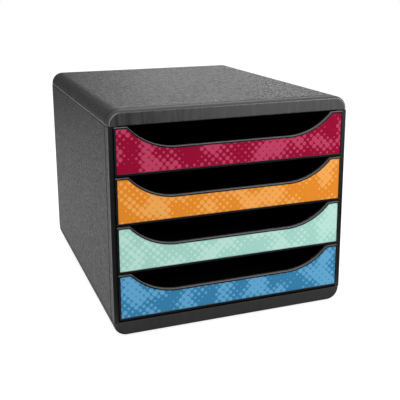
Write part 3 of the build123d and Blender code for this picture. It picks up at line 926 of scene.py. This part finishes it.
narrow = add_node(tree, "ShaderNodeMath", {0: ridge, 1: taper}, operation="MULTIPLY")
squeeze = add_node(tree, "ShaderNodeCombineXYZ", {"X": narrow, "Y": narrow, "Z": 1.0})
wound = add_node(tree, "ShaderNodeVectorMath", {0: spot, 1: squeeze}, operation="MULTIPLY")
shank = add_node(tree, "GeometryNodeSetPosition", {"Geometry": raised, "Position": wound})
print("turns of thread:", round(SCREW_SIZES["Length"] / SCREW_SIZES["Thread pitch"], 1))

# %% [markdown]
# The cross recess is pressed into the head last. A boolean joins the head to the shank, and another
# cuts two crossed bars out of the head's face.

# %% The cross recess
double_depth = add_node(tree, "ShaderNodeMath", {
    0: size["Recess depth"], 1: 2.0,
}, operation="MULTIPLY")
at_face = add_node(tree, "ShaderNodeCombineXYZ", {"Z": face_down})
bars = []
for long_side, short_side in (("X", "Y"), ("Y", "X")):
    bar_size = add_node(tree, "ShaderNodeCombineXYZ", {
        long_side: size["Recess length"], short_side: size["Recess width"], "Z": double_depth,
    })
    bar = add_node(tree, "GeometryNodeMeshCube", {"Size": bar_size})
    placed = add_node(tree, "GeometryNodeTransform", {
        "Geometry": bar.outputs["Mesh"], "Translation": at_face,
    })
    bars.append(placed)
whole = add_node(tree, "GeometryNodeMeshBoolean", {
    "Mesh 2": [head, shank],
}, operation="UNION", solver="EXACT")
driven = add_node(tree, "GeometryNodeMeshBoolean", {
    "Mesh 1": whole, "Mesh 2": bars,
}, operation="DIFFERENCE", solver="EXACT")
end_shape(tree, size, driven)
print("recess is", SCREW_SIZES["Recess depth"] / MM, "mm deep")

# %% [markdown]
# A tree does nothing by itself. A modifier runs it on an object, here one that holds only the
# points, and the result is turned into a plain mesh, so that nothing stays live on it. The screw
# grows on four points, one for each CAD screw, and the result stands for those screws.

# %% The four screws
def grow(name, points, tree, sizes, material):
    """Run a geometry tree on these points and return the result as a plain mesh object."""
    mesh = bpy.data.meshes.new(name)
    mesh.from_pydata(points, [], [])
    piece = bpy.data.objects.new(name, mesh)
    bpy.context.scene.collection.objects.link(piece)
    modifier = piece.modifiers.new("grow", "NODES")
    modifier.node_group = tree
    values = {**sizes, "Material": material}
    for item in tree.interface.items_tree:
        if item.in_out == "INPUT" and item.name in values:
            modifier[item.identifier] = values[item.name]
    ready = piece.evaluated_get(bpy.context.evaluated_depsgraph_get())
    made = bpy.data.meshes.new_from_object(ready)
    piece.modifiers.clear()
    piece.data = made
    print(name, "has", len(made.polygons), "faces")
    return piece


low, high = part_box("base_screws")
head_radius = SCREW_SIZES["Head radius"]
shoulder = low.z + SCREW_SIZES["Head height"]
screw_points = [(x, y, shoulder) for x in (head_radius - high.x, high.x - head_radius)
                for y in (low.y + head_radius, high.y - head_radius)]
screws = grow("threaded_base_screws", screw_points, tree, SCREW_SIZES, zinc)
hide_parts("base_screws")
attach(screws, "cabinet")

# %% [markdown]
# A rubber foot grips by thin rings in its sole. The disc that it is cut from has many rings of
# points on its faces, and each point of the sole rises by a cosine of its distance from the rim,
# which presses round grooves into it. Close to the rim a second term rounds the edge.

# %% The rubber foot
FOOT_CORNERS = 72
FOOT_RINGS = 36
FOOT_SIZES = {
    "Radius": 9.0 * MM,
    "Height": 4.0 * MM,
    "Ring pitch": 2.2 * MM,
    "Ring depth": 0.5 * MM,
    "Edge round": 0.8 * MM,
}

tree, size = new_shape("ringed foot", FOOT_SIZES)
spot = add_node(tree, "GeometryNodeInputPosition")
axes = add_node(tree, "ShaderNodeSeparateXYZ", {0: spot})
disc = add_node(tree, "GeometryNodeMeshCylinder", {
    "Vertices": FOOT_CORNERS, "Side Segments": 1, "Fill Segments": FOOT_RINGS,
    "Radius": size["Radius"], "Depth": size["Height"],
})
half = add_node(tree, "ShaderNodeMath", {0: size["Height"], 1: 0.5}, operation="MULTIPLY")
up = add_node(tree, "ShaderNodeCombineXYZ", {"Z": half})
standing = add_node(tree, "GeometryNodeTransform", {
    "Geometry": disc.outputs["Mesh"], "Translation": up,
})
reach = distance_from_axis(tree, spot)
inwards = add_node(tree, "ShaderNodeMath", {0: size["Radius"], 1: reach}, operation="SUBTRACT")
rings = add_node(tree, "ShaderNodeMath", {0: inwards, 1: size["Ring pitch"]}, operation="DIVIDE")
swing = add_node(tree, "ShaderNodeMath", {0: rings, 1: math.tau}, operation="MULTIPLY")
cosine = add_node(tree, "ShaderNodeMath", {0: swing}, operation="COSINE")
groove = add_node(tree, "ShaderNodeMath", {0: cosine, 1: -0.5, 2: 0.5}, operation="MULTIPLY_ADD")
sunk = add_node(tree, "ShaderNodeMath", {0: groove, 1: size["Ring depth"]}, operation="MULTIPLY")
near_rim = add_node(tree, "ShaderNodeMapRange", {
    "Value": inwards, "From Max": size["Edge round"], "To Min": 1.0, "To Max": 0.0,
})
curved = add_node(tree, "ShaderNodeMath", {0: near_rim, 1: 2.0}, operation="POWER")
rise = add_node(tree, "ShaderNodeMath", {
    0: curved, 1: size["Edge round"], 2: sunk,
}, operation="MULTIPLY_ADD")
lift = add_node(tree, "ShaderNodeCombineXYZ", {"Z": rise})
on_sole = add_node(tree, "ShaderNodeMath", {0: axes.outputs["Z"], 1: half}, operation="LESS_THAN")
sole = add_node(tree, "GeometryNodeSetPosition", {
    "Geometry": standing, "Selection": on_sole, "Offset": lift,
})
end_shape(tree, size, sole)
print("rings in each sole:", int(FOOT_SIZES["Radius"] / FOOT_SIZES["Ring pitch"]))

# %% [markdown]
# The tree runs once for each foot, on the middle of the CAD foot's underside. Each result stands
# for that foot, and moves with the cabinet that it carries.

# %% The four feet
for corner in ("front_left", "front_right", "rear_left", "rear_right"):
    low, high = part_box(f"{corner}_foot")
    middle = ((low.x + high.x) / 2, (low.y + high.y) / 2, low.z)
    foot = grow(f"{corner}_ringed_foot", [middle], tree, FOOT_SIZES, rubber)
    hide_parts(f"{corner}_foot")
    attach(foot, "cabinet")
